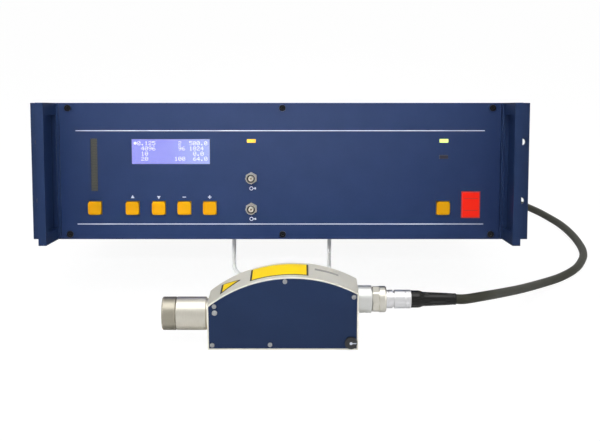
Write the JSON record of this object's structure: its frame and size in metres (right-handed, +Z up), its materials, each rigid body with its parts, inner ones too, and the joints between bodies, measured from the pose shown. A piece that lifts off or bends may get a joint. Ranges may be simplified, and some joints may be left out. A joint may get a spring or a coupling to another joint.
{
  "type": "laser vibrometer",
  "caption": "Laser vibrometer: rack controller with display, buttons and jacks, tilted on a fold-out bail, cabled to an arched sensor head with a focusing lens.",
  "frame": {"origin": "on the table, under the middle of the box round the controller and the sensor head", "axes": "+X to the right seen from the front panel, +Y from the viewer towards the rear panel, +Z up"},
  "size_m": [0.5871, 0.6818, 0.1998],
  "materials": {
    "panel_paint": "satin powder coat",
    "bracket_paint": "satin powder coat",
    "cover_paint": "fine textured powder coat",
    "raw_aluminium": "brushed",
    "anodised_rear": "anodised",
    "black_steel": "black oxide",
    "foot_rubber": "moulded",
    "black_plastic": "moulded",
    "zinc_wire": "bright zinc",
    "white_wire": "white powder coat",
    "zinc_sheet": "zinc plate",
    "window_clear": "polished",
    "backlit_glass": "lit from behind",
    "board_laminate": "solder mask",
    "brass_pillar": "turned",
    "dark_lens": "moulded",
    "dark_segment": "moulded",
    "amber_plastic": "moulded",
    "amber_lamp": "lit",
    "green_lamp": "lit",
    "unlit_lamp": "moulded",
    "nickel_plate": "satin nickel",
    "plug_nickel": "satin nickel",
    "white_insulator": "turned",
    "gold_contact": "gold plate",
    "red_frame": "moulded",
    "red_cap": "moulded",
    "head_silver": "bead blasted and anodised",
    "steel_screw": "turned",
    "yellow_plate": "printed",
    "black_anodised": "black anodised",
    "coated_lens": "coated",
    "cable_jacket": "extruded jacket"
  },
  "bodies": {
    "instrument": {"front_panel": "panel_paint", "rack_bracket_left": "bracket_paint", "rack_bracket_right": "bracket_paint", "side_plate_left": "raw_aluminium", "side_plate_right": "raw_aluminium", "front_rails": "raw_aluminium", "rear_rails": "raw_aluminium", "top_cover": "cover_paint", "bottom_cover": "cover_paint", "rear_panel": "anodised_rear", "case_screws": "black_steel", "panel_screws": "black_steel", "case_feet": "foot_rubber", "bail_clips": "black_plastic", "display_window": "window_clear", "display_module": "backlit_glass", "front_board": "board_laminate", "board_pillars": "brass_pillar", "bar_display": "dark_lens", "bar_segments": "dark_segment", "button_switches": "black_plastic", "over_lamp": "amber_lamp", "emission_lamp": "green_lamp", "standby_lamp": "unlit_lamp", "coax_jacks": "nickel_plate", "jack_insulators": "white_insulator", "jack_contacts": "gold_contact", "power_switch_body": "red_frame", "mains_inlet": "black_plastic", "fan_housing": "black_plastic", "fan_guard": "zinc_wire", "power_supply": "zinc_sheet", "main_board": "board_laminate", "rear_socket": "nickel_plate", "head_shell": "head_silver", "head_base": "head_silver", "head_side_plates": "panel_paint", "plate_screws": "steel_screw", "label_plates": "yellow_plate", "lens_barrel": "head_silver", "optics_bench": "raw_aluminium", "head_socket": "nickel_plate", "plugs": "plug_nickel", "sensor_cable": "cable_jacket", "cable_coil": "cable_jacket"},
    "clear_button": {"clear_button": "amber_plastic"},
    "up_button": {"up_button": "amber_plastic"},
    "down_button": {"down_button": "amber_plastic"},
    "minus_button": {"minus_button": "amber_plastic"},
    "plus_button": {"plus_button": "amber_plastic"},
    "laser_button": {"laser_button": "amber_plastic"},
    "power_cap": {"power_switch_cap": "red_cap"},
    "bail": {"tilt_bail": "white_wire"},
    "fan_wheel": {"fan_rotor": "black_plastic"},
    "focus_ring": {"focus_ring": "head_silver"},
    "lens_carriage": {"lens_carriage": "black_anodised", "front_lens": "coated_lens"},
    "shutter": {"shutter_knob": "black_plastic"},
    "head_nut": {"head_nut": "nickel_plate"},
    "rear_nut": {"rear_nut": "nickel_plate"}
  },
  "joints": [
    {"name": "clear_press", "type": "slide", "parent": "instrument", "child": "clear_button", "axis": [0, 0.988, -0.1547], "range_m": [0, 0.0015], "stiffness_N_per_m": 300},
    {"name": "up_press", "type": "slide", "parent": "instrument", "child": "up_button", "axis": [0, 0.988, -0.1547], "range_m": [0, 0.0015], "stiffness_N_per_m": 300},
    {"name": "down_press", "type": "slide", "parent": "instrument", "child": "down_button", "axis": [0, 0.988, -0.1547], "range_m": [0, 0.0015], "stiffness_N_per_m": 300},
    {"name": "minus_press", "type": "slide", "parent": "instrument", "child": "minus_button", "axis": [0, 0.988, -0.1547], "range_m": [0, 0.0015], "stiffness_N_per_m": 300},
    {"name": "plus_press", "type": "slide", "parent": "instrument", "child": "plus_button", "axis": [0, 0.988, -0.1547], "range_m": [0, 0.0015], "stiffness_N_per_m": 300},
    {"name": "laser_press", "type": "slide", "parent": "instrument", "child": "laser_button", "axis": [0, 0.988, -0.1547], "range_m": [0, 0.0015], "stiffness_N_per_m": 300},
    {"name": "power_press", "type": "slide", "parent": "instrument", "child": "power_cap", "axis": [0, 0.988, -0.1547], "range_m": [0, 0.003], "stiffness_N_per_m": 400},
    {"name": "bail_fold", "type": "hinge", "parent": "instrument", "child": "bail", "pos_m": [0, -0.03939, 0.04433], "axis": [1, 0, 0], "range_deg": [0, 92]},
    {"name": "fan_spin", "type": "hinge", "parent": "instrument", "child": "fan_wheel", "pos_m": [-0.06, 0.22834, 0.07346], "axis": [0, 0.988, -0.1547], "continuous": true},
    {"name": "focus_turn", "type": "hinge", "parent": "instrument", "child": "focus_ring", "pos_m": [-0.095, -0.23431, 0.026], "axis": [-1, 0, 0], "range_deg": [-150, 150]},
    {"name": "lens_travel", "type": "slide", "parent": "instrument", "child": "lens_carriage", "axis": [-1, 0, 0], "range_m": [-0.0017, 0.0017]},
    {"name": "shutter_turn", "type": "hinge", "parent": "instrument", "child": "shutter", "pos_m": [0.0633, -0.25556, 0.007], "axis": [0, -1, 0], "range_deg": [0, 70]},
    {"name": "head_nut_turn", "type": "hinge", "parent": "instrument", "child": "head_nut", "pos_m": [0.0876, -0.23431, 0.0392], "axis": [1, 0, 0], "range_deg": [0, 540]},
    {"name": "rear_nut_turn", "type": "hinge", "parent": "instrument", "child": "rear_nut", "pos_m": [0.17, 0.2552, 0.05104], "axis": [0, 0.988, -0.1547], "range_deg": [0, 540]}
  ],
  "couplings": [
    {"joint": "lens_travel", "follows": "focus_turn", "m_per_rad": 0.00064}
  ]
}
